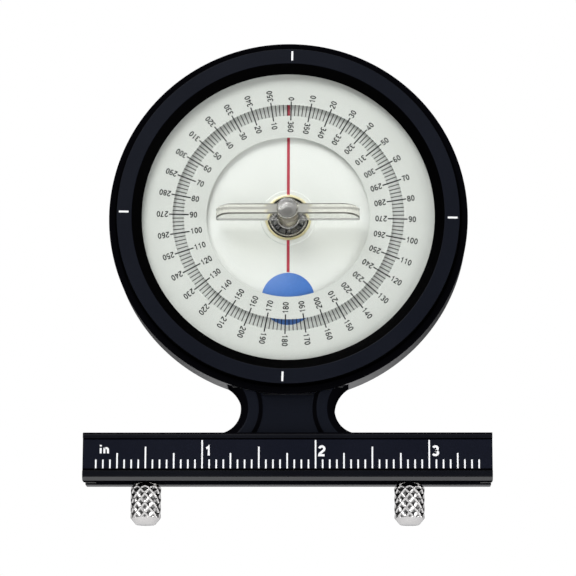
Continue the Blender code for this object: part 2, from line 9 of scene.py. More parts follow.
import bmesh
import bpy
import numpy as np
from mathutils import Matrix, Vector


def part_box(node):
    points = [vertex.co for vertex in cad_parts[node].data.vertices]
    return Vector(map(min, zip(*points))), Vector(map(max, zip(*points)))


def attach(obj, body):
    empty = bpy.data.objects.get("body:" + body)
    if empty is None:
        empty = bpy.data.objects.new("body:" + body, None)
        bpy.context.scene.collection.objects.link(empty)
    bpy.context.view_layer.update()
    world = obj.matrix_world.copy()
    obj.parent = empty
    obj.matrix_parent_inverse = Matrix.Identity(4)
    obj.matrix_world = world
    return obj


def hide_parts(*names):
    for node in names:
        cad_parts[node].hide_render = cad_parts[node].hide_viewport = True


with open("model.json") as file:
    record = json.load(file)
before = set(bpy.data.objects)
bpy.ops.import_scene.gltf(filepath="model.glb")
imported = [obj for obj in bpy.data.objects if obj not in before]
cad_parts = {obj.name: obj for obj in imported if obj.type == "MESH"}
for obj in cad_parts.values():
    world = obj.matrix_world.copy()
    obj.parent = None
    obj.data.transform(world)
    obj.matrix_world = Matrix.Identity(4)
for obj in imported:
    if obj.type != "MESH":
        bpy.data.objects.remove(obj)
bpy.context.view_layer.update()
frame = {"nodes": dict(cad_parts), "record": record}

MM = 0.001
FINE = 192          # facets round a large turned piece
MIDDLING = 96       # facets round a hub or a race
SMALL = 64          # facets round a small turned piece


def span(node):
    """Lowest and highest corner of a frame node, in millimetres."""
    low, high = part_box(node)
    return np.array(low) / MM, np.array(high) / MM


BAR_LO, BAR_HI = span("base_bar")
STRIP_LO, STRIP_HI = span("ruler_strip")
BEZEL_LO, BEZEL_HI = span("bezel_ring")
LENS_LO, LENS_HI = span("dial_lens")
SCALE_LO, SCALE_HI = span("scale_ring")
WEIGHT_LO, WEIGHT_HI = span("pendulum_weight")
HUB_LO, HUB_HI = span("pendulum_hub")
RACE_LO, RACE_HI = span("bearing_outer_race")
POST_LO, POST_HI = span("handle_post")
FIN_HI = span("handle_fin")[1]
CASE_R = span("housing")[1][0]
DISC_BACK = span("pendulum_disc")[1][1]
BEZEL_R = BEZEL_HI[0]
FACE_Y = BEZEL_LO[1]


# ---------------------------------------------------------------- mesh making
def make_mesh(name, points, faces, sharp=35.0):
    """A mesh from points in millimetres and faces, smooth except past an angle."""
    mesh = bpy.data.meshes.new(name)
    mesh.from_pydata((np.asarray(points, float) * MM).tolist(), [], faces)
    bm = bmesh.new()
    bm.from_mesh(mesh)
    bmesh.ops.recalc_face_normals(bm, faces=bm.faces)
    bm.to_mesh(mesh)
    bm.free()
    mesh.shade_smooth()
    mesh.set_sharp_from_angle(angle=math.radians(sharp))
    mesh.update()
    return mesh


def face_mids(mesh):
    """Middle of every face, in millimetres."""
    mids = np.zeros(len(mesh.polygons) * 3)
    mesh.polygons.foreach_get("center", mids)
    return mids.reshape(-1, 3) / MM


def face_normals(mesh):
    """Outward direction of every face."""
    normals = np.zeros(len(mesh.polygons) * 3)
    mesh.polygons.foreach_get("normal", normals)
    return normals.reshape(-1, 3)


def off_axis(points):
    """Distance of points from the dial's axis."""
    return np.hypot(points[:, 0], points[:, 2])


def paint(mesh, slots, *materials):
    """More materials on a mesh, and the material slot of every face."""
    for mat in materials:
        mesh.materials.append(mat)
    mesh.polygons.foreach_set("material_index", np.asarray(slots).astype(np.int32))


def piece(name, mesh, body, material, replaces=()):
    """One visible piece: its object sits at the origin and rides on a body."""
    ob = bpy.data.objects.new(name, mesh)
    bpy.context.scene.collection.objects.link(ob)
    mesh.materials.clear()
    mesh.materials.append(material)
    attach(ob, body)
    if replaces:
        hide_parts(*replaces)
    return ob


def joined(*parts):
    """One list of points and faces from several."""
    points, faces, base = [], [], 0
    for pts, fcs in parts:
        pts = np.asarray(pts, float)
        points.append(pts)
        faces += [[i + base for i in f] for f in fcs]
        base += len(pts)
    return np.vstack(points), faces


def rounded(outline, radius, steps=3):
    """A closed outline with each corner V replaced by the curve
    (1-t)^2 A + 2t(1-t) V + t^2 B, where A and B lie radius away along its edges.
    One more point stands just outside A and B, so that the flats beyond stay flat
    in their shading too.
    """
    v = np.asarray(outline, float)
    to_prev = np.roll(v, 1, axis=0) - v
    to_next = np.roll(v, -1, axis=0) - v
    len_prev = np.linalg.norm(to_prev, axis=1, keepdims=True)
    len_next = np.linalg.norm(to_next, axis=1, keepdims=True)
    reach = np.minimum(radius, 0.42 * np.minimum(len_prev, len_next))
    a = v + to_prev / len_prev * reach
    b = v + to_next / len_next * reach
    t = np.linspace(0.0, 1.0, steps + 1)[None, :, None]
    curve = (1 - t) ** 2 * a[:, None] + 2 * t * (1 - t) * v[:, None] + t ** 2 * b[:, None]
    before = (v + to_prev / len_prev * reach * 1.15)[:, None]
    after = (v + to_next / len_next * reach * 1.15)[:, None]
    return np.concatenate([before, curve, after], axis=1).reshape(-1, 2)


def grid_faces(rows, cols, wrap_rows, wrap_cols):
    """Quads of a rows x cols grid of points, joined end to end where wrapped."""
    i = np.arange(rows if wrap_rows else rows - 1)
    j = np.arange(cols if wrap_cols else cols - 1)
    i, j = np.meshgrid(i, j, indexing="ij")
    i1 = (i + 1) % rows
    j1 = (j + 1) % cols
    quads = np.stack([i * cols + j, i * cols + j1, i1 * cols + j1, i1 * cols + j], -1)
    return quads.reshape(-1, 4).tolist()


def turned(profile, segments, centre=(0.0, 0.0), axis="Y"):
    """Surface of revolution of a closed profile of (radius, height) points.

    The point (r, h) at angle a goes to (cx + r sin a, h, cz + r cos a), or with
    axis Z to (cx + r sin a, cy + r cos a, h). Points on the axis are one point.
    """
    p = np.asarray(profile, float)
    a = np.linspace(0.0, 2 * np.pi, segments, endpoint=False)[:, None]
    u = centre[0] + p[None, :, 0] * np.sin(a)
    v = centre[1] + p[None, :, 0] * np.cos(a)
    h = np.broadcast_to(p[None, :, 1], u.shape)
    points = np.stack([u, h, v] if axis == "Y" else [u, v, h], -1).reshape(-1, 3)
    quads = np.array(grid_faces(segments, len(p), True, True))
    poles = np.where(np.abs(p[:, 0]) < 1e-9)[0]
    index = np.arange(len(points)).reshape(segments, len(p))
    index[:, poles] = index[0, poles]
    quads = index.reshape(-1)[quads]
    faces = []
    for quad in quads.tolist():
        corners = list(dict.fromkeys(quad))
        if len(corners) > 2:
            faces.append(corners)
    used = np.unique(np.concatenate([np.array(f) for f in faces]))
    remap = dict(zip(used.tolist(), range(len(used))))
    faces = [[remap[k] for k in f] for f in faces]
    return points[used], faces


def extruded(outline, low, high, plane):
    """A prism of a closed outline; plane XZ runs along Y, YZ along X, XY along Z."""
    o = np.asarray(outline, float)
    n = len(o)
    ends = []
    for d in (low, high):
        depth = np.full(n, d)
        order = {"XZ": (o[:, 0], depth, o[:, 1]), "YZ": (depth, o[:, 0], o[:, 1]),
                 "XY": (o[:, 0], o[:, 1], depth)}
        ends.append(np.stack(order[plane], -1))
    sides = grid_faces(2, n, False, True)
    return np.vstack(ends), sides + [list(range(n)), list(range(2 * n - 1, n - 1, -1))]


def bevel(ob, width, segments, angle):
    """Rounded edges wherever two faces meet at more than an angle in degrees."""
    mod = ob.modifiers.new("edge", "BEVEL")
    mod.width = width * MM
    mod.segments = segments
    mod.limit_method = "ANGLE"
    mod.angle_limit = math.radians(angle)
    mod.use_clamp_overlap = True
    mod.harden_normals = True


# ------------------------------------------------------------------ materials
def group(name, inputs, outputs):
    """An empty shader group with named sockets; inputs are (name, type, value)."""
    g = bpy.data.node_groups.new(name, "ShaderNodeTree")
    for label, kind, value in inputs:
        sock = g.interface.new_socket(label, in_out="INPUT", socket_type="NodeSocket" + kind)
        sock.default_value = value
    for label, kind in outputs:
        g.interface.new_socket(label, in_out="OUTPUT", socket_type="NodeSocket" + kind)
    return g, g.nodes.new("NodeGroupInput"), g.nodes.new("NodeGroupOutput")


def math_node(g, operation, a, b=None):
    """A maths node on one or two sockets or numbers; gives its output socket."""
    node = g.nodes.new("ShaderNodeMath")
    node.operation = operation
    for k, value in enumerate((a, b)):
        if value is None:
            continue
        if isinstance(value, (int, float)):
            node.inputs[k].default_value = value
        else:
            g.links.new(value, node.inputs[k])
    return node.outputs[0]


def satin_group():
    """Blasted satin surface: fine grain with soft, wider patches of wear."""
    g, src, out = group(
        "satin_surface",
        [("Color", "Color", (0.02, 0.02, 0.03, 1)), ("Light Color", "Color", (0.05, 0.05, 0.06, 1)),
         ("Roughness", "Float", 0.4), ("Grain Scale", "Float", 6000.0)],
        [("Color", "Color"), ("Roughness", "Float"), ("Height", "Float")])
    coord = g.nodes.new("ShaderNodeTexCoord")
    grain = g.nodes.new("ShaderNodeTexNoise")
    grain.inputs["Detail"].default_value = 2.0
    patch = g.nodes.new("ShaderNodeTexNoise")
    patch.inputs["Scale"].default_value = 55.0
    patch.inputs["Detail"].default_value = 3.0
    g.links.new(coord.outputs["Object"], grain.inputs["Vector"])
    g.links.new(coord.outputs["Object"], patch.inputs["Vector"])
    g.links.new(src.outputs["Grain Scale"], grain.inputs["Scale"])
    speck = math_node(g, "MULTIPLY", math_node(g, "SUBTRACT", grain.outputs["Fac"], 0.45), 1.6)
    wide = math_node(g, "MULTIPLY", math_node(g, "SUBTRACT", patch.outputs["Fac"], 0.5), 0.5)
    both = g.nodes.new("ShaderNodeMath")
    both.operation = "ADD"
    both.use_clamp = True
    g.links.new(speck, both.inputs[0])
    g.links.new(wide, both.inputs[1])
    mix = g.nodes.new("ShaderNodeMix")
    mix.data_type = "RGBA"
    g.links.new(both.outputs[0], mix.inputs["Factor"])
    g.links.new(src.outputs["Color"], mix.inputs["A"])
    g.links.new(src.outputs["Light Color"], mix.inputs["B"])
    g.links.new(mix.outputs["Result"], out.inputs["Color"])
    rough = math_node(g, "ADD", src.outputs["Roughness"], math_node(g, "MULTIPLY", wide, 0.35))
    g.links.new(rough, out.inputs["Roughness"])
    g.links.new(grain.outputs["Fac"], out.inputs["Height"])
    return g


def ring_group():
    """Turning marks: noise along the distance from the dial's axis."""
    g, src, out = group(
        "turning_marks",
        [("Pitch", "Float", 9000.0), ("Roughness", "Float", 0.2), ("Amount", "Float", 0.12)],
        [("Roughness", "Float"), ("Height", "Float")])
    coord = g.nodes.new("ShaderNodeTexCoord")
    split = g.nodes.new("ShaderNodeSeparateXYZ")
    g.links.new(coord.outputs["Object"], split.inputs[0])
    x, z = split.outputs["X"], split.outputs["Z"]
    square = math_node(g, "ADD", math_node(g, "MULTIPLY", x, x), math_node(g, "MULTIPLY", z, z))
    r = math_node(g, "SQRT", square)
    noise = g.nodes.new("ShaderNodeTexNoise")
    noise.noise_dimensions = "1D"
    noise.inputs["Scale"].default_value = 1.0
    noise.inputs["Detail"].default_value = 4.0
    g.links.new(math_node(g, "MULTIPLY", r, src.outputs["Pitch"]), noise.inputs["W"])
    swing = math_node(g, "MULTIPLY", math_node(g, "SUBTRACT", noise.outputs["Fac"], 0.5),
                      src.outputs["Amount"])
    g.links.new(math_node(g, "ADD", src.outputs["Roughness"], swing), out.inputs["Roughness"])
    g.links.new(noise.outputs["Fac"], out.inputs["Height"])
    return g


SATIN = satin_group()
RINGS = ring_group()


def new_material(name, color, roughness, metallic=0.0):
    """A material and its Principled shader."""
    mat = bpy.data.materials.new(name)
    mat.use_nodes = True
    bsdf = mat.node_tree.nodes["Principled BSDF"]
    bsdf.inputs["Base Color"].default_value = (*color, 1.0)
    bsdf.inputs["Roughness"].default_value = roughness
    bsdf.inputs["Metallic"].default_value = metallic
    return mat, bsdf


def use_group(mat, g, **values):
    """A shader group placed in a material with its own values."""
    node = mat.node_tree.nodes.new("ShaderNodeGroup")
    node.node_tree = g
    for key, value in values.items():
        node.inputs[key.replace("_", " ")].default_value = value
    return node


def bump(mat, bsdf, height, distance):
    """Relief from a height socket, as deep as a distance in millimetres."""
    node = mat.node_tree.nodes.new("ShaderNodeBump")
    node.inputs["Distance"].default_value = distance * MM
    node.inputs["Strength"].default_value = 1.0
    mat.node_tree.links.new(height, node.inputs["Height"])
    mat.node_tree.links.new(node.outputs["Normal"], bsdf.inputs["Normal"])


def satin(name, color, light, roughness, grain, depth, metallic=0.0, specular=0.5):
    """A material on the satin group: anodised, blasted, moulded or painted."""
    mat, bsdf = new_material(name, color, roughness, metallic)
    node = use_group(mat, SATIN, Color=(*color, 1.0), Light_Color=(*light, 1.0),
                     Roughness=roughness, Grain_Scale=grain)
    links = mat.node_tree.links
    links.new(node.outputs["Color"], bsdf.inputs["Base Color"])
    links.new(node.outputs["Roughness"], bsdf.inputs["Roughness"])
    bsdf.inputs["Specular IOR Level"].default_value = specular
    bump(mat, bsdf, node.outputs["Height"], depth)
    return mat


def machined(name, color, roughness, pitch, depth, metallic=1.0, specular=0.5):
    """A lathe-turned material with rings about the dial's axis."""
    mat, bsdf = new_material(name, color, roughness, metallic)
    bsdf.inputs["Specular IOR Level"].default_value = specular
    node = use_group(mat, RINGS, Pitch=pitch, Roughness=roughness)
    mat.node_tree.links.new(node.outputs["Roughness"], bsdf.inputs["Roughness"])
    bump(mat, bsdf, node.outputs["Height"], depth)
    return mat


def clear(name, color, roughness, shadow, grain=0.0, through=1.0):
    """Clear acrylic: refracts what is behind it and lets its own light through."""
    mat, bsdf = new_material(name, color, roughness)
    bsdf.inputs["Transmission Weight"].default_value = through
    bsdf.inputs["IOR"].default_value = 1.49
    tree = mat.node_tree
    out = tree.nodes["Material Output"]
    path = tree.nodes.new("ShaderNodeLightPath")
    passing = tree.nodes.new("ShaderNodeBsdfTransparent")
    passing.inputs["Color"].default_value = (*shadow, 1.0)
    mix = tree.nodes.new("ShaderNodeMixShader")
    straight = math_node(tree, "MAXIMUM", path.outputs["Is Shadow Ray"],
                         path.outputs["Is Diffuse Ray"])
    tree.links.new(straight, mix.inputs["Fac"])
    tree.links.new(bsdf.outputs["BSDF"], mix.inputs[1])
    tree.links.new(passing.outputs["BSDF"], mix.inputs[2])
    tree.links.new(mix.outputs["Shader"], out.inputs["Surface"])
    if grain:
        node = use_group(mat, SATIN, Roughness=roughness, Grain_Scale=900.0)
        tree.links.new(node.outputs["Roughness"], bsdf.inputs["Roughness"])
        bump(mat, bsdf, node.outputs["Height"], grain)
    return mat


ANODISED = satin("anodised_satin", (0.0018, 0.0022, 0.0042), (0.0042, 0.0052, 0.0095), 0.33,
                 7000.0, 0.005, specular=0.11)
WALL = satin("anodised_wall", (0.0016, 0.0019, 0.0034), (0.004, 0.005, 0.0085), 0.30, 7000.0,
             0.005, specular=0.42)
CHAMFER = satin("anodised_chamfer", (0.0016, 0.0019, 0.0034), (0.004, 0.005, 0.0085), 0.30,
                7000.0, 0.004, specular=0.95)
FACE = satin("anodised_face", (0.0031, 0.0042, 0.0082), (0.0053, 0.0068, 0.0127), 0.42, 5200.0,
             0.007, specular=0.08)
STRIP = satin("anodised_strip", (0.0028, 0.0037, 0.0088), (0.0060, 0.0078, 0.017), 0.36, 6500.0,
              0.005, specular=0.12)
# near-black copy of the anodising with almost no reflection: painted shade on the bezel's cone,
# sides and bore
BEZEL_SHADE = machined("anodised_cone_shade", (0.0003, 0.0003, 0.0004), 0.5, 8000.0, 0.003, metallic=0.0,
                 specular=0.01)
# near-black copy of the anodising with no reflection: painted shade on the case rim and neck
# flanks, the bar's seat, top edge and underside, and the strip's lower edge
PAINTED_SHADE = machined("anodised_painted_shade", (0.0018, 0.0018, 0.0026), 0.5, 8000.0, 0.003, metallic=0.0,
               specular=0.0)
STEEL = machined("stainless_turned", (0.72, 0.71, 0.69), 0.24, 9000.0, 0.003)
# darkened copy of the steel: painted shade for the dark inside of the bearing, laid on the cage
CAGE_SHADE = satin("cage_steel_shade", (0.16, 0.16, 0.155), (0.30, 0.30, 0.29), 0.35, 4000.0, 0.004,
             metallic=1.0)
KNURL = satin("stainless_knurled", (0.58, 0.57, 0.56), (0.72, 0.71, 0.70), 0.2, 3000.0, 0.003,
              metallic=1.0)
# darkened copy of the knurled steel: painted shade in the knurl's valleys
VALLEY_SHADE = satin("stainless_valley_shade", (0.13, 0.13, 0.128), (0.22, 0.22, 0.215), 0.3, 3000.0, 0.004,
               metallic=1.0)
OXIDE = satin("black_oxide", (0.008, 0.008, 0.010), (0.02, 0.02, 0.023), 0.08, 4000.0, 0.0005,
              specular=1.0)
BRASS = machined("brass_turned", (0.96, 0.88, 0.56), 0.34, 7000.0, 0.002)
BLUE = satin("blue_enamel", (0.040, 0.155, 0.50), (0.055, 0.19, 0.58), 0.42, 1800.0, 0.004)
DISC = satin("white_disc", (0.80, 0.815, 0.785), (0.86, 0.875, 0.845), 0.4, 1500.0, 0.002)
FILM = satin("white_film", (0.60, 0.615, 0.585), (0.655, 0.67, 0.64), 0.55, 2500.0, 0.002)
RUBBER = satin("black_rubber", (0.012, 0.012, 0.012), (0.03, 0.03, 0.03), 0.75, 3000.0, 0.01)
PLASTIC = satin("black_plastic", (0.008, 0.008, 0.009), (0.02, 0.02, 0.022), 0.5, 3500.0, 0.006)
RED = satin("red_ink", (0.42, 0.020, 0.045), (0.50, 0.035, 0.07), 0.45, 2500.0, 0.001)
WHITE_INK = satin("white_ink", (0.78, 0.79, 0.80), (0.88, 0.88, 0.88), 0.5, 2500.0, 0.001)
BLACK_INK = satin("black_ink", (0.003, 0.0035, 0.004), (0.008, 0.009, 0.010), 0.6, 2500.0, 0.001,
                  specular=0.2)
LENS = clear("lens_acrylic", (0.985, 0.99, 0.985), 0.0, (0.96, 0.97, 0.96))
ACRYLIC = clear("handle_acrylic", (0.92, 0.925, 0.88), 0.03, (0.78, 0.78, 0.74), grain=0.004)
FROST = clear("handle_front", (0.78, 0.78, 0.71), 0.16, (0.78, 0.78, 0.74), grain=0.004,
              through=0.6)
# brass-brown tint on the clear acrylic round the post: painted reflection of the brass hub behind
# it
BOSS_REFLECTION = clear("handle_boss_reflection", (0.50, 0.47, 0.39), 0.12, (0.6, 0.6, 0.56), grain=0.004, through=0.8)
# opaque dark copy of the acrylic: painted shade on the fin's chamfers and the post's front ring
EDGE_SHADE = satin("handle_edge_shade", (0.10, 0.10, 0.085), (0.24, 0.24, 0.21), 0.3, 2500.0, 0.004)
POST = clear("post_acrylic", (0.54, 0.54, 0.54), 0.32, (0.6, 0.6, 0.58), grain=0.02)

CAD_MATERIALS = {
    "anodised": ANODISED, "ruled_strip": STRIP, "steel": STEEL, "black_oxide": OXIDE,
    "brass": BRASS, "clear": LENS, "white_print": FILM, "white_plastic": DISC,
    "blue_paint": BLUE, "black_rubber": RUBBER, "black_plastic": PLASTIC,
}


def finish_cad_nodes():
    """Each frame node that stays in view gets the procedural finish of its slot."""
    for part in frame["record"]["subparts"]:
        ob = frame["nodes"][part["node"]]
        mat = CAD_MATERIALS[part["material_slot"]]
        # the cage gets the darkened steel: painted shade for the bearing's dark inside
        if part["node"] == "bearing_cage":
            mat = CAGE_SHADE
        for k in range(len(ob.material_slots)):
            ob.material_slots[k].link = "OBJECT"
            ob.material_slots[k].material = mat


# ------------------------------------------------------------ case and its neck
NECK_HALF = 10.6      # half width at the waist
NECK_WAIST_Z = -44.35
NECK_UPPER_R = 6.6    # side arcs above and below the waist
NECK_LOWER_R = 5.57
NECK_TOP_Z = -38.5
NECK_FOOT = 0.3       # straight run where the neck meets the bar
NECK_CORE = 9.0       # distance inside the side arcs where the two halves join
SINK = 0.02           # how far a piece is sunk into the one that it stands on
CASE_EDGE = 0.3
CASE_FRONT_Y = -9.7
CASE_BORE_R = 39.3
CASE_SEAT_R = 38.0    # bore behind the bezel
CASE_SEAT_Y = -3.3
CASE_FLOOR_Y = -1.5
SCREW_R = 3.3         # counterbore and hole of the screw in the back wall
SCREW_HOLE_R = 2.05
SCREW_SEAT_Y = -0.8


def neck():
    """The waisted neck, as closed cross-sections carried down in Z.

    Each section point is a distance d inside the side arc and a depth y. With
    R the arc's radius above or below the waist, it stands at height z at
    x = H + R - sqrt((R + d)^2 - (z - Z)^2), so ribs and panel follow the arcs.
    """
    section = rounded([
        (0.0, -0.6), (0.0, -7.95), (1.7, -9.0), (4.1, -9.0), (5.0, -8.2),
        (NECK_CORE, -8.2), (NECK_CORE, -0.6)], 0.3, 2)
    half = section[section[:, 0] < NECK_CORE - 0.5]
    half = np.roll(half, -int(np.argmax(half[:, 1])), axis=0)
    bottom = BAR_HI[2] + SINK
    z = np.append(np.linspace(NECK_TOP_Z, bottom + NECK_FOOT, 48), bottom)[:, None]
    radius = np.where(z > NECK_WAIST_Z, NECK_UPPER_R, NECK_LOWER_R)
    drop = np.maximum(z, bottom + NECK_FOOT) - NECK_WAIST_Z
    x = NECK_HALF + radius - np.sqrt((radius + half[None, :, 0]) ** 2 - drop ** 2)
    y = np.broadcast_to(half[None, :, 1], x.shape)
    right = np.stack([x, y, np.broadcast_to(z, x.shape)], -1)
    left = right[:, ::-1] * np.array([-1.0, 1.0, 1.0])
    loops = np.concatenate([right, left], axis=1)
    rows, cols = loops.shape[:2]
    faces = grid_faces(rows, cols, False, True)
    faces.append(list(range(cols)))
    faces.append(list(range(rows * cols - 1, (rows - 1) * cols - 1, -1)))
    return loops.reshape(-1, 3), faces


def make_case():
    """A turned cup with a back wall, and the neck below it, as one piece.

    The front rim and the neck's flanks carry painted shade in near-black, the neck's flats are like
    the bezel.
    """
    r, front = CASE_R, CASE_FRONT_Y
    profile = rounded([
        (SCREW_R, 0.0), (r - CASE_EDGE, 0.0), (r, -CASE_EDGE), (r, front + CASE_EDGE),
        (r - CASE_EDGE, front), (CASE_BORE_R + 0.35, front), (CASE_BORE_R, front + 0.35),
        (CASE_BORE_R, CASE_SEAT_Y), (CASE_SEAT_R, CASE_SEAT_Y), (CASE_SEAT_R, CASE_FLOOR_Y),
        (SCREW_HOLE_R, CASE_FLOOR_Y), (SCREW_HOLE_R, SCREW_SEAT_Y), (SCREW_R, SCREW_SEAT_Y)],
        0.16)
    mesh = make_mesh("case_body", *joined(turned(profile, FINE), neck()))
    piece("case_body", mesh, "case", ANODISED, ["housing"])
    mids = face_mids(mesh)
    away = off_axis(mids)
    forward = -face_normals(mesh)[:, 1]
    below = (away > r + 0.01) & (forward > -0.5)
    rim = (away > BEZEL_R) & (away < r + 0.15) & (mids[:, 1] < front + 0.5)
    wall = (np.abs(away - r + 0.05) < 0.1) & ~rim & (np.abs(mids[:, 1] + 5.0) < 4.5)
    flank = below & (forward < 0.95)
    land = below & (forward >= 0.95)
    # rim and flanks: painted shade in near-black; wall: glossier copy; lands: the bezel face's
    # colour
    paint(mesh, (rim | flank) + 2 * wall + 3 * land, PAINTED_SHADE, WALL, FACE)


# --------------------------------------------------------- base bar and its rule
SLOT_MOUTH = 2.1      # half width of the tee slot at its mouth and inside
SLOT_HALF = 3.5
SLOT_LIP = 1.6        # thickness of the lips, and height of the slot's roof
SLOT_ROOF = 5.1
STRIP_SEAT = 0.45     # depth of the recess that the ruled strip lies in


def make_bar():
    """The base bar: one section with a tee slot below and a shallow seat in front.

    The seat, the thin top edge and the front lip's underside carry painted shade in
    near-black, and the slope along the lower front edge is glossier than the rest.
    """
    f, b = BAR_LO[1], BAR_HI[1]
    top, bot = BAR_HI[2], BAR_LO[2]
    mid = 0.5 * (f + b)
    seat, lip, roof = f + STRIP_SEAT, bot + SLOT_LIP, bot + SLOT_ROOF
    outline = [
        (b, top), (f + 0.30, top), (f + 0.12, top - 0.12), (f + 0.02, top - 0.40),
        (f, top - 0.50), (f, STRIP_HI[2] + 0.28), (seat, STRIP_HI[2] + 0.24),
        (seat, STRIP_LO[2] - 0.05), (f, STRIP_LO[2] - 0.12), (f, bot + 0.98),
        (f + 0.15, bot + 0.9), (f + 0.08, bot + 0.76), (f + 0.8, bot),
        (mid - SLOT_MOUTH, bot), (mid - SLOT_MOUTH, lip), (mid - SLOT_HALF, lip),
        (mid - SLOT_HALF, roof), (mid + SLOT_HALF, roof), (mid + SLOT_HALF, lip),
        (mid + SLOT_MOUTH, lip), (mid + SLOT_MOUTH, bot), (b - 0.15, bot), (b, bot + 0.15)]
    mesh = make_mesh("bar_body", *extruded(outline, BAR_LO[0], BAR_HI[0], "YZ"))
    ob = piece("bar_body", mesh, "case", ANODISED, ["base_bar"])
    x, y, z = face_mids(mesh).T
    recess = (y > f + 0.05) & (y < f + 0.6) & (z > bot + 1.2) & (z < top - 0.3)
    edge = (y < f + 0.3) & (z > top - 0.45)
    under = (z < bot + 0.1) & (y > f + 0.9) & (y < mid - 1.0)
    slope = (z < bot + 0.7) & (z > bot + 0.1) & (y < f + 0.7) & (np.abs(x) < BAR_HI[0] - 0.1)
    # seat, top edge and lip underside get painted shade; the lower front slope a glossier copy
    paint(mesh, (recess | edge | under) + 2 * slope, PAINTED_SHADE, CHAMFER)
    bevel(ob, 0.07, 2, 40.0)


def make_strip():
    """The ruled strip: a thin plate whose lower front edge is rounded off."""
    lo, hi = STRIP_LO, STRIP_HI
    front, turn = lo[1], lo[2] + 0.4
    t = np.radians(np.linspace(0.0, 80.0, 7))
    edge = np.stack([front + 0.3 * (1 - np.cos(t)), turn - 0.38 * np.sin(t)], -1)
    outline = np.vstack([[(hi[1], hi[2]), (front + 0.1, hi[2]), (front, hi[2] - 0.1)], edge,
                         [(front + 0.32, lo[2]), (hi[1], lo[2])]])
    mesh = make_mesh("strip_plate", *extruded(outline, lo[0], hi[0], "YZ"), sharp=30.0)
    piece("strip_plate", mesh, "case", STRIP, ["ruler_strip"])
    # the rounded lower edge carries painted shade in near-black
    paint(mesh, face_mids(mesh)[:, 2] < turn - 0.03, PAINTED_SHADE)


INK = 0.012          # how far printed marks stand in front of what they lie on
BITE = 0.004         # how far they reach into it


def printed(outline, y):
    """A thin printed patch of an outline in X and Z, on a face at y."""
    return extruded(outline, y + BITE, y - INK, "XZ")


# ------------------------------------------------------------- drawn characters
def arc_line(cx, cy, rx, ry, a0, a1, n=10):
    """Points of an ellipse arc, angles in degrees counter-clockwise from +x."""
    a = np.radians(np.linspace(a0, a1, n + 1))
    return np.stack([cx + rx * np.cos(a), cy + ry * np.sin(a)], -1)


def line(*points):
    """Points of a straight-sided path."""
    return np.array(points, float)


# each character is drawn as centre lines in a box LETTER_W wide and 1 high
LETTER_W = 0.56
STROKES = {
    "0": [arc_line(0.28, 0.5, 0.21, 0.44, 0, 360, 18)],
    "1": [line((0.10, 0.76), (0.22, 0.80), (0.31, 0.94), (0.31, 0.03))],
    "2": [np.vstack([arc_line(0.28, 0.70, 0.21, 0.24, 170, -35, 9),
                     line((0.10, 0.20), (0.07, 0.06), (0.50, 0.06))])],
    "3": [arc_line(0.27, 0.72, 0.19, 0.22, 155, -90, 9),
          arc_line(0.27, 0.28, 0.22, 0.22, 90, -155, 9)],
    "4": [line((0.38, 0.03), (0.38, 0.93), (0.05, 0.28), (0.54, 0.28))],
    "5": [np.vstack([line((0.47, 0.93), (0.13, 0.93), (0.09, 0.50)),
                     arc_line(0.27, 0.33, 0.22, 0.27, 130, -150, 10)])],
    "6": [arc_line(0.28, 0.31, 0.21, 0.25, 0, 360, 12),
          np.vstack([arc_line(0.33, 0.66, 0.25, 0.28, 60, 150, 4), line((0.075, 0.33))])],
    "7": [line((0.06, 0.93), (0.50, 0.93), (0.34, 0.55), (0.24, 0.03))],
    "8": [arc_line(0.28, 0.71, 0.18, 0.22, 0, 360, 12),
          arc_line(0.28, 0.27, 0.22, 0.23, 0, 360, 12)],
    "9": [arc_line(0.28, 0.69, 0.21, 0.25, 0, 360, 12),
          np.vstack([arc_line(0.23, 0.34, 0.25, 0.28, 240, 330, 4), line((0.485, 0.67))])],
    "i": [line((0.16, 0.0), (0.16, 0.62)), line((0.16, 0.80), (0.16, 0.98))],
    "n": [line((0.10, 0.0), (0.10, 0.66)),
          np.vstack([arc_line(0.29, 0.42, 0.19, 0.19, 150, 0, 6), line((0.48, 0.0))])],
}


def ribbon(path, width):
    """The two edges of a flat band along a path, and whether the path closes.

    Each path point is moved half the width to either side, along the direction
    that halves the corner there, and further where the path bends.
    """
    loop = np.allclose(path[0], path[-1])
    p = path[:-1] if loop else path
    if loop:
        ahead, behind = np.roll(p, -1, axis=0) - p, p - np.roll(p, 1, axis=0)
    else:
        step = np.diff(p, axis=0)
        ahead, behind = np.vstack([step, step[-1:]]), np.vstack([step[:1], step])
    ahead = ahead / np.linalg.norm(ahead, axis=1, keepdims=True)
    behind = behind / np.linalg.norm(behind, axis=1, keepdims=True)
    along = ahead + behind
    along /= np.maximum(np.linalg.norm(along, axis=1, keepdims=True), 1e-6)
    side = np.stack([-along[:, 1], along[:, 0]], -1)
    stretch = 1.0 / np.maximum((along * ahead).sum(1, keepdims=True), 0.55)
    off = side * stretch * width / 2
    return p + off, p - off, loop


def write(text, height, width, stroke, place, y, advance=0.0):
    """Characters as thin solids. place maps (along, up) in millimetres to (x, z)."""
    parts = []
    for k, letter in enumerate(text):
        for path in STROKES[letter]:
            path = path * np.array([width / LETTER_W, height]) + np.array([k * advance, 0.0])
            a, b, loop = ribbon(path, stroke)
            n = len(a)
            rings = []
            for edge, depth in ((a, y + BITE), (a, y - INK), (b, y - INK), (b, y + BITE)):
                xz = place(edge)
                rings.append(np.stack([xz[:, 0], np.full(n, depth), xz[:, 1]], -1))
            points = np.stack(rings, axis=1)
            faces = grid_faces(n, 4, loop, True)
            if not loop:
                faces += [[0, 1, 2, 3], [4 * n - 1, 4 * n - 2, 4 * n - 3, 4 * n - 4]]
            parts.append((points.reshape(-1, 3), faces))
    return parts


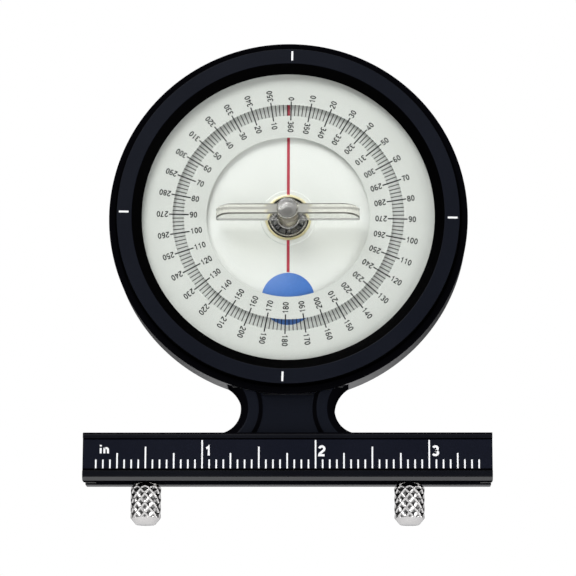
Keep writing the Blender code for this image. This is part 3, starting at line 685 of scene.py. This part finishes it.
# --------------------------------------------------------------- rule markings
INCH = 25.4
RULE_ZERO_X = -44.45
RULE_FOOT_Z = -58.31
RULE_HEIGHTS = {1: 1.97, 4: 3.43, 8: 4.86, 16: 6.36}   # by sixteenths between like lines
RULE_TICK = 0.34
RULE_LAST = 55        # sixteenths


def make_rule():
    """Lines every sixteenth of an inch, a figure at each inch, and the unit."""
    y = STRIP_LO[1]
    parts = []
    for k in range(1, RULE_LAST + 1):
        top = RULE_FOOT_Z + RULE_HEIGHTS[max(step for step in RULE_HEIGHTS if k % step == 0)]
        x = RULE_ZERO_X + k * INCH / 16
        x0, x1 = x - RULE_TICK / 2, x + RULE_TICK / 2
        parts.append(printed([(x0, RULE_FOOT_Z), (x1, RULE_FOOT_Z), (x1, top), (x0, top)], y))
    for n in (1, 2, 3):
        x0 = RULE_ZERO_X + n * INCH + 0.65
        parts += write(str(n), 2.25, 1.5, 0.5, lambda p, x0=x0: p + np.array([x0, -55.5]), y)
    parts += write("in", 1.95, 1.2, 0.45, lambda p: p + np.array([-42.15, -54.95]), y, 0.95)
    mesh = make_mesh("rule_marks", *joined(*parts))
    piece("rule_marks", mesh, "case", WHITE_INK)


# ------------------------------------------------------------------ knurled feet
KNURL_STARTS = 10
KNURL_RISE = 2.15     # height between two ridges of one set
KNURL_DEPTH = 0.36
KNURL_FROM = 1.45     # the knurling's lower end, above the foot's end
FOOT_SHOULDER_R = 2.6


def foot(node):
    """A knurled foot: radius over angle a and height z.

    Two crossed sets of helical ridges, u = n a / 2 pi + z / p and
    v = n a / 2 pi - z / p, each with height 1 - |2 frac - 1| sharpened, stand on
    the core; the ridges fade out at the bevelled ends.
    """
    lo, hi = span(node)
    cx, cy = 0.5 * (lo[0] + hi[0]), 0.5 * (lo[1] + hi[1])
    radius = 0.5 * (hi[0] - lo[0])
    top, bottom = hi[2], lo[2]
    a = np.linspace(0.0, 2 * np.pi, 240, endpoint=False)[:, None]
    z = np.linspace(top - 0.25, bottom + KNURL_FROM, 130)[None, :]
    u = KNURL_STARTS * a / (2 * np.pi) + z / KNURL_RISE
    v = KNURL_STARTS * a / (2 * np.pi) - z / KNURL_RISE
    ridge_u = 1.0 - np.abs(2.0 * (u % 1.0) - 1.0)
    ridge_v = 1.0 - np.abs(2.0 * (v % 1.0) - 1.0)
    height = np.maximum(ridge_u, ridge_v)
    height = np.clip((height - 0.28) / 0.70, 0.0, 1.0)
    r = radius - KNURL_DEPTH * (1.0 - height)
    r = np.minimum(r, FOOT_SHOULDER_R + (radius - FOOT_SHOULDER_R) * np.clip(top - z, 0.0, 1.0))
    rings_above = [(1.6, top), (2.4, top)]
    rings_below = [(radius - 0.12, bottom + 1.4), (radius - 0.16, bottom + 1.3),
                   (2.3, bottom + 0.1), (2.12, bottom), (1.2, bottom)]

    def around(radii, heights):
        """Grid of points round the foot's axis, one column per radius."""
        return np.stack([cx + radii * np.sin(a), cy + radii * np.cos(a),
                         heights + 0 * radii * a], -1)

    grid = np.concatenate(
        [around(*np.array(rings_above).T), around(r, z), around(*np.array(rings_below).T)], axis=1)
    n, m = grid.shape[:2]
    first = np.arange(n) * m
    faces = grid_faces(n, m, True, False) + [first.tolist(), (first + m - 1)[::-1].tolist()]
    return grid.reshape(-1, 3), faces


def make_feet():
    """Both knurled feet, with painted shade in the valleys between the ridges."""
    for name in ("foot_left", "foot_right"):
        mesh = make_mesh("knurled_" + name, *foot(name), sharp=50.0)
        piece("knurled_" + name, mesh, name, KNURL, [name])
        lo, hi = span(name)
        mid = 0.5 * (lo + hi)
        x, y, z = face_mids(mesh).T
        deep = np.hypot(x - mid[0], y - mid[1]) < 0.5 * (hi[0] - lo[0]) - 0.6 * KNURL_DEPTH
        paint(mesh, deep & (z > lo[2] + 1.6) & (z < hi[2] - 1.0), VALLEY_SHADE)


# ---------------------------------------------------------- bezel and its marks
DIAL_TURN = 1.36      # how far the dial stands turned, in degrees, clockwise


def polar(theta):
    """Unit outward and clockwise directions (x, z) at a dial angle in degrees."""
    a = np.radians(theta + DIAL_TURN)
    out = np.stack([np.sin(a), np.cos(a)], -1)
    clockwise = np.stack([np.cos(a), -np.sin(a)], -1)
    return out, clockwise


def radial_bar(theta, r0, r1, width, y):
    """A thin printed bar along a radius of the dial."""
    out, side = polar(theta)
    half = side * width / 2
    corners = [out * r0 - half, out * r0 + half, out * r1 + half, out * r1 - half]
    return printed(np.array(corners), y)


LIP_R = 33.45         # inner edge of the bezel, in front of the lens
CONE_R = 35.78        # where its cone meets its flat face
GROOVE_R = 38.2       # floor of the groove for the retaining ring
GROOVE_FRONT_Y = -7.2
GROOVE_BACK_Y = -6.0
SKIRT_R = 36.6        # inside of the bezel behind the lens's seat
SKIRT_BACK_Y = -4.2
SEAT_R = 35.0         # bore that the lens lies in
SEAT_BACK_Y = -8.46
MARK_ANGLES = (0.0, 90.0, 180.36, 269.7)


def make_bezel():
    """A turned ring: cone, flat face, rim with a groove, and the lens's seat."""
    back = LENS_LO[1] - SINK
    outline = [
        (LIP_R, back), (LIP_R + 0.04, back - 0.14), (CONE_R - 0.13, FACE_Y + 0.05),
        (CONE_R, FACE_Y), (BEZEL_R - 0.12, FACE_Y), (BEZEL_R, FACE_Y + 0.12),
        (BEZEL_R, GROOVE_FRONT_Y), (GROOVE_R, GROOVE_FRONT_Y), (GROOVE_R, GROOVE_BACK_Y),
        (BEZEL_R, GROOVE_BACK_Y), (BEZEL_R, SKIRT_BACK_Y), (SKIRT_R, SKIRT_BACK_Y),
        (SKIRT_R, SEAT_BACK_Y), (SEAT_R, SEAT_BACK_Y), (SEAT_R, back)]
    mesh = make_mesh("bezel_body", *turned(rounded(outline, 0.08, 2), FINE))
    # all but the flat face carry painted shade: near-black with almost no reflection
    piece("bezel_body", mesh, "dial", BEZEL_SHADE, ["bezel_ring"])
    mids = face_mids(mesh)
    paint(mesh, (off_axis(mids) > CONE_R - 0.08) & (mids[:, 1] < FACE_Y + 0.03), FACE)
    marks = [radial_bar(q, 36.4, 38.6, 0.43, FACE_Y) for q in MARK_ANGLES]
    mesh = make_mesh("bezel_marks", *joined(*marks))
    piece("bezel_marks", mesh, "dial", WHITE_INK)


# ---------------------------------------------------------------- lens and scale
POST_HOLE_R = 2.43    # hole through the lens and the fin for the handle's post
LENS_R = 34.9
WINDOW_R = 18.7       # the scale print's clear middle
PRINT_R = 34.8
TICK_IN, TICK_OUT = 23.9, 26.5
LONG_IN, LONG_OUT = 22.8, 27.3
TICK_W, LONG_W = 0.2, 0.29
OUTER_FOOT_R = 27.55  # where the outer and inner figures start
INNER_FOOT_R = 22.55
FIGURE_H, FIGURE_W, FIGURE_STROKE, FIGURE_STEP = 1.32, 0.76, 0.235, 0.91


def make_lens():
    """A flat clear disc with a hole for the handle's post."""
    lo, hi = LENS_LO[1], LENS_HI[1]
    profile = rounded([(POST_HOLE_R, hi), (LENS_R, hi), (LENS_R, lo), (POST_HOLE_R, lo)], 0.12, 3)
    mesh = make_mesh("lens_disc", *turned(profile, FINE))
    piece("lens_disc", mesh, "dial", LENS, ["dial_lens"])


def make_scale():
    """White rings either side of the clear band that the ticks stand in.

    A tick stands every two degrees, a long one every ten, and there figures run
    clockwise outside the band and anticlockwise inside it.
    """
    front, back = SCALE_LO[1] + 0.03, SCALE_HI[1]
    rings = []
    for r0, r1 in ((WINDOW_R, TICK_IN), (TICK_OUT, PRINT_R)):
        rings.append(turned([(r0, back), (r1, back), (r1, front), (r0, front)], FINE))
    mesh = make_mesh("scale_film", *joined(*rings))
    piece("scale_film", mesh, "dial", FILM, ["scale_ring"])
    y = SCALE_LO[1] + 0.022
    ticks = []
    for degree in range(0, 360, 2):
        r0, r1, wide = (TICK_IN, TICK_OUT, TICK_W) if degree % 10 else (LONG_IN, LONG_OUT, LONG_W)
        ticks.append(radial_bar(degree, r0, r1, wide, y))
    mesh = make_mesh("scale_ticks", *joined(*ticks))
    piece("scale_ticks", mesh, "dial", BLACK_INK)
    numbers = []
    shape = (FIGURE_H, FIGURE_W, FIGURE_STROKE)
    for degree in range(0, 360, 10):
        out, side = polar(degree)

        def outward(p, out=out, side=side):
            return out * (OUTER_FOOT_R + p[:, :1]) - side * (p[:, 1:] - FIGURE_H / 2)

        def inward(p, out=out, side=side):
            return out * (INNER_FOOT_R - p[:, :1]) + side * (p[:, 1:] - FIGURE_H / 2)

        numbers += write(str(degree), *shape, outward, y, FIGURE_STEP)
        numbers += write(str(360 - degree), *shape, inward, y, FIGURE_STEP)
    mesh = make_mesh("scale_numbers", *joined(*numbers))
    piece("scale_numbers", mesh, "dial", BLACK_INK)


# ----------------------------------------------------------------------- handle
FIN_HUB_R = 2.56
FIN_EDGE = 0.28       # chamfer along the fin's outline
FIN_THICK = 1.2       # half thickness of the blade
FIN_FRONT_Y = -17.5
FIN_END_Y = -11.9     # where the front corners' curves start
FIN_CORNER = 3.7      # how far they reach along the blade
POST_R = 2.4


def cut(ob, cutter_mesh, operation):
    """Apply one exact boolean with a mesh that is then thrown away."""
    cutter = bpy.data.objects.new("cutter", cutter_mesh)
    bpy.context.scene.collection.objects.link(cutter)
    mod = ob.modifiers.new("cut", "BOOLEAN")
    mod.operation = operation
    mod.solver = "EXACT"
    mod.object = cutter
    done = bpy.data.meshes.new_from_object(
        ob.evaluated_get(bpy.context.evaluated_depsgraph_get()))
    ob.modifiers.remove(mod)
    ob.data = done
    bpy.data.objects.remove(cutter, do_unlink=True)


def fin_points():
    """The blade: one outline at four heights, drawn in a little at both flats.

    With t from 0 to 90 degrees a front corner runs from the blade's end at
    (x0 + c (1 - cos t), y0 - h sin t), a quarter of an ellipse.
    """
    base, half = FIN_HI[1], FIN_HI[0]
    t = np.radians(np.linspace(0.0, 90.0, 14))
    left = np.stack([-half + FIN_CORNER * (1 - np.cos(t)),
                     FIN_END_Y - (FIN_END_Y - FIN_FRONT_Y) * np.sin(t)], -1)
    right = left[::-1] * np.array([-1.0, 1.0])
    outline = np.vstack([[(-half, base)], left, right, [(half, base)]])
    middle = np.array([0.0, 0.5 * (base + FIN_FRONT_Y)])
    inset = outline - np.sign(outline - middle) * FIN_EDGE
    n = len(outline)
    levels = ((inset, -FIN_THICK), (outline, FIN_EDGE - FIN_THICK),
              (outline, FIN_THICK - FIN_EDGE), (inset, FIN_THICK))
    points = np.vstack([np.column_stack([o, np.full(n, z)]) for o, z in levels])
    ends = [list(range(n)), list(range(4 * n - 1, 3 * n - 1, -1))]
    return points, grid_faces(4, n, False, True) + ends


def make_fin():
    """The clear fin with its round hub, bored for the post."""
    base, front = FIN_HI[1], FIN_FRONT_Y
    ob = piece("fin_blade", make_mesh("fin_blade", *fin_points()), "dial", ACRYLIC,
               ["handle_fin"])
    hub = [(0.0, base), (FIN_HUB_R, base), (FIN_HUB_R, front + 0.1), (0.0, front + 0.1)]
    cut(ob, make_mesh("fin_hub", *turned(hub, SMALL)), "UNION")
    bore = [(0.0, base + 1.0), (POST_HOLE_R, base + 1.0), (POST_HOLE_R, front - 1.0),
            (0.0, front - 1.0)]
    cut(ob, make_mesh("fin_bore", *turned(bore, SMALL)), "DIFFERENCE")
    mesh = ob.data
    mesh.name = "fin_blade"
    mesh.materials.clear()
    mids = face_mids(mesh)
    across = np.abs(face_normals(mesh)[:, 2])
    blade = np.abs(mids[:, 0]) > FIN_HUB_R
    frosted = blade & (across < 0.3) & (mids[:, 1] < -11.0)
    chamfer = blade & (across > 0.3) & (across < 0.9)
    # chamfers get painted shade; the hub gets a brass tint as painted reflection of the brass hub
    paint(mesh, frosted + 2 * chamfer + 3 * (~blade), ACRYLIC, FROST, EDGE_SHADE, BOSS_REFLECTION)
    mesh.set_sharp_from_angle(angle=math.radians(25.0))


def make_post():
    """The clear post, with painted shade as a dark ring round its front edge."""
    front, back = POST_LO[1], POST_HI[1]
    shoulder = front + 0.12
    profile = [(0.0, back), (POST_R, back), (POST_R, front + 0.3), (2.32, front + 0.1),
               (2.15, front), (1.2, front + 0.02), (0.0, front + 0.03)]
    mesh = make_mesh("post_rod", *turned(profile, SMALL))
    piece("post_rod", mesh, "dial", POST, ["handle_post"])
    mids = face_mids(mesh)
    away = off_axis(mids)
    rim = (away > 2.2) & (away < 2.34) & (mids[:, 1] < shoulder)
    side = (away > 2.34) & (mids[:, 1] > shoulder)
    paint(mesh, rim + 2 * side, EDGE_SHADE, ACRYLIC)


# --------------------------------------------------------------------- pendulum
RED_LINE = 0.67
DISC_R = 32.0
DISC_THICK = 1.2
DISC_STEP_R = 6.4     # edge of the shallow step round the hub
HUB_R = 5.3
HUB_BORE_R = 4.775
HUB_FLANGE_R = 7.5
HUB_FLANGE_Y = (-6.28, -5.2)


def make_pendulum():
    """The white disc, its red line in two runs, the blue slug and the brass hub."""
    front, back = DISC_BACK - DISC_THICK, DISC_BACK
    edge_r = HUB_R + SINK
    profile = rounded([(edge_r, back), (DISC_R, back), (DISC_R, front), (DISC_STEP_R, front),
                       (DISC_STEP_R - 0.2, front - 0.3), (edge_r, front - 0.3)], 0.08, 2)
    mesh = make_mesh("disc_plate", *turned(profile, FINE))
    piece("disc_plate", mesh, "pendulum", DISC, ["pendulum_disc"])
    parts = []
    for sign, start in ((1.0, 31.2), (-1.0, 12.75)):
        path = np.array([(front, start), (front, 6.42), (front - 0.3, 6.22), (front - 0.3, 5.2)])
        path[:, 1] *= sign
        lift = path[::-1] - np.array([INK, 0.0])
        strip = np.vstack([path + np.array([BITE, 0.0]), lift])
        parts.append(extruded(strip, -RED_LINE / 2, RED_LINE / 2, "YZ"))
    mesh = make_mesh("red_line", *joined(*parts))
    piece("red_line", mesh, "pendulum", RED)
    middle_z = 0.5 * (WEIGHT_LO[2] + WEIGHT_HI[2])
    r = 0.5 * (WEIGHT_HI[2] - WEIGHT_LO[2])
    face = WEIGHT_LO[1]
    profile = [(0.0, WEIGHT_HI[1]), (r, WEIGHT_HI[1]), (r, face + 0.12), (r - 0.04, face + 0.04),
               (r - 0.14, face), (0.0, face)]
    mesh = make_mesh("weight_slug", *turned(profile, MIDDLING, (0.0, middle_z)))
    piece("weight_slug", mesh, "pendulum", BLUE, ["pendulum_weight"])
    front, back = HUB_LO[1], HUB_HI[1]
    near, far = HUB_FLANGE_Y
    profile = rounded([(HUB_BORE_R, back), (HUB_R, back), (HUB_R, far), (HUB_FLANGE_R, far),
                       (HUB_FLANGE_R, near), (HUB_R, near), (HUB_R, front),
                       (HUB_BORE_R, front)], 0.06, 2)
    mesh = make_mesh("hub_sleeve", *turned(profile, MIDDLING))
    piece("hub_sleeve", mesh, "pendulum", BRASS, ["pendulum_hub"])


# ---------------------------------------------------------------------- bearing
PITCH_R = 3.175
BALL_R = 0.775
BALLS = 7
TRACK_R = 0.81
BEARING_R = 4.7625
BEARING_BORE_R = 1.5875
OUTER_LAND_R = 3.73   # edges of the ball tracks
INNER_LAND_R = 2.62
# the groove is painted black oxide as painted shade
GROOVE_IN_R, GROOVE_OUT_R = 4.03, 4.37    # dark groove in the outer race's face


def track(edge, toward, mid, steps=10):
    """Arc of the ball track between a race's two edges, about the ball centre."""
    lim = math.acos(abs(PITCH_R - edge) / TRACK_R)
    a = np.linspace(-lim, lim, steps + 1)
    return np.stack([PITCH_R + toward * TRACK_R * np.cos(a), mid + TRACK_R * np.sin(a)], -1)


def ball(cx, cy, cz, rings=16, segments=24):
    """A sphere by latitude and longitude, closed with one point at each pole."""
    t = np.linspace(0.0, np.pi, rings + 1)
    profile = np.stack([BALL_R * np.sin(t), cy - BALL_R * np.cos(t)], -1)
    profile[0, 0] = profile[-1, 0] = 0.0
    return turned(profile, segments, (cx, cz))


def make_bearing():
    """Outer race, inner race and balls; the races' tracks are arcs round the balls."""
    front, back = RACE_LO[1], RACE_HI[1]
    mid = 0.5 * (front + back)
    outer = np.vstack([
        [(BEARING_R, back - 0.2), (4.56, back), (3.8, back), (OUTER_LAND_R, back - 0.06)],
        track(OUTER_LAND_R, 1.0, mid)[::-1],
        [(OUTER_LAND_R, front + 0.35), (GROOVE_IN_R, front + 0.3), (GROOVE_IN_R, front + 0.04),
         (4.07, front), (4.33, front), (GROOVE_OUT_R, front + 0.04), (GROOVE_OUT_R, front + 0.5),
         (BEARING_R, front + 0.5)]])
    mesh = make_mesh("outer_race", *turned(outer, MIDDLING))
    piece("outer_race", mesh, "pendulum", STEEL, ["bearing_outer_race"])
    mids = face_mids(mesh)
    away = off_axis(mids)
    # the groove and the race's face inside it carry painted shade in black oxide
    groove = (away > GROOVE_OUT_R - 0.02) | (away < GROOVE_IN_R + 0.01)
    paint(mesh, groove & (mids[:, 1] < front + 0.6), OXIDE)
    inner = np.vstack([
        [(BEARING_BORE_R, back), (2.55, back), (INNER_LAND_R, back - 0.06)],
        track(INNER_LAND_R, -1.0, mid)[::-1],
        [(INNER_LAND_R, front + 0.06), (2.55, front), (BEARING_BORE_R, front)]])
    mesh = make_mesh("inner_race", *turned(inner, MIDDLING))
    piece("inner_race", mesh, "case", STEEL, ["bearing_inner_race"])
    for k in range(BALLS):
        a = math.radians(180.0 + 360.0 * k / BALLS)
        name = "ball_%d" % (k + 1)
        points, faces = ball(PITCH_R * math.sin(a), mid, PITCH_R * math.cos(a))
        mesh = make_mesh("bearing_" + name, points, faces)
        piece("bearing_" + name, mesh, "cage", OXIDE, [name])


# ------------------------------------------------------- stage, lights, camera
def make_stage():
    """A pale floor well below the feet."""
    size, level = 3.0, -0.30
    mesh = bpy.data.meshes.new("floor")
    mesh.from_pydata([(-size, -size, level), (size, -size, level), (size, size, level),
                      (-size, size, level)], [], [(0, 1, 2, 3)])
    floor = bpy.data.objects.new("floor", mesh)
    bpy.context.scene.collection.objects.link(floor)
    mesh.materials.append(new_material("floor_paper", (0.85, 0.85, 0.85), 0.9)[0])


# radiance of the studio seen by light rays: from below, level, and above
WORLD_STEPS = [(0.0, 0.60), (0.18, 0.35), (0.36, 0.10), (0.62, 0.10), (0.78, 0.70), (1.0, 1.3)]


def make_world():
    """White behind the object for the camera, and a dim graded studio for the light."""
    world = bpy.data.worlds.new("studio")
    bpy.context.scene.world = world
    world.use_nodes = True
    tree = world.node_tree
    out = tree.nodes["World Output"]
    seen = tree.nodes["Background"]
    seen.inputs["Color"].default_value = (1.0, 1.0, 1.0, 1.0)
    seen.inputs["Strength"].default_value = 1.0
    lit = tree.nodes.new("ShaderNodeBackground")
    coord = tree.nodes.new("ShaderNodeTexCoord")
    split = tree.nodes.new("ShaderNodeSeparateXYZ")
    tree.links.new(coord.outputs["Generated"], split.inputs[0])
    height = tree.nodes.new("ShaderNodeMapRange")
    height.inputs["From Min"].default_value = -1.0
    tree.links.new(split.outputs["Z"], height.inputs["Value"])
    ramp = tree.nodes.new("ShaderNodeValToRGB")
    ramp.color_ramp.interpolation = "EASE"
    while len(ramp.color_ramp.elements) < len(WORLD_STEPS):
        ramp.color_ramp.elements.new(0.5)
    for element, (place, value) in zip(ramp.color_ramp.elements, WORLD_STEPS):
        element.position = place
        element.color = (value, value, value * 1.02, 1.0)
    tree.links.new(height.outputs["Result"], ramp.inputs["Fac"])
    tree.links.new(ramp.outputs["Color"], lit.inputs["Color"])
    path = tree.nodes.new("ShaderNodeLightPath")
    mix = tree.nodes.new("ShaderNodeMixShader")
    tree.links.new(path.outputs["Is Camera Ray"], mix.inputs["Fac"])
    tree.links.new(lit.outputs["Background"], mix.inputs[1])
    tree.links.new(seen.outputs["Background"], mix.inputs[2])
    tree.links.new(mix.outputs["Shader"], out.inputs["Surface"])


def set_up(name, data, right, up, back, place):
    """An object of a light or camera, whose own -Z looks away from back."""
    ob = bpy.data.objects.new(name, data)
    bpy.context.scene.collection.objects.link(ob)
    m = np.eye(4)
    m[:3, :4] = np.stack([right, up, back, place], -1)
    ob.matrix_world = Matrix(m.tolist())
    return ob


def area_light(name, place, target, size, power):
    """A square soft light at place, aimed at target, both in metres."""
    data = bpy.data.lights.new(name, "AREA")
    data.shape = "SQUARE"
    data.size = size
    data.energy = power
    p, t = np.array(place, float), np.array(target, float)
    back = (p - t) / np.linalg.norm(p - t)
    right = np.cross((0.0, 0.0, 1.0), back)
    right /= np.linalg.norm(right)
    set_up(name, data, right, np.cross(back, right), back, p)


CAMERA_PLACE = (13.80, -601.33, -139.235)           # millimetres
CAMERA_ANGLES = (11.6906, -1.3337, 0.1741)          # pitch, yaw and roll, degrees
CAMERA_LENS = 166.15


def make_camera():
    """The camera stands below the feet and looks slightly up at the dial."""
    pitch, yaw, roll = np.radians(CAMERA_ANGLES)
    forward = np.array([math.sin(yaw) * math.cos(pitch), math.cos(yaw) * math.cos(pitch),
                        math.sin(pitch)])
    level = np.array([math.cos(yaw), -math.sin(yaw), 0.0])
    upright = np.cross(level, forward)
    right = level * math.cos(roll) + upright * math.sin(roll)
    up = -level * math.sin(roll) + upright * math.cos(roll)
    data = bpy.data.cameras.new("camera")
    data.sensor_width = 36.0
    data.lens = CAMERA_LENS
    data.clip_start = 0.01
    data.clip_end = 20.0
    bpy.context.scene.camera = set_up("camera", data, right, up, -forward,
                                      np.array(CAMERA_PLACE) * MM)


make_camera()
make_stage()
make_world()
area_light("key", (-0.35, -0.80, 0.80), (0.0, 0.0, 0.0), 0.7, 10.6)
area_light("side", (1.0, -0.55, -0.25), (0.0, 0.0, 0.0), 0.6, 7.0)
area_light("under", (0.15, -0.12, -1.0), (0.0, 0.0, -0.03), 0.6, 4.0)

finish_cad_nodes()
make_case()
make_bar()
make_strip()
make_rule()
make_feet()
make_bezel()
make_lens()
make_scale()
make_fin()
make_post()
make_pendulum()
make_bearing()

scene = bpy.context.scene
scene.view_settings.view_transform = "Standard"
scene.view_settings.look = "None"

bpy.context.view_layer.update()
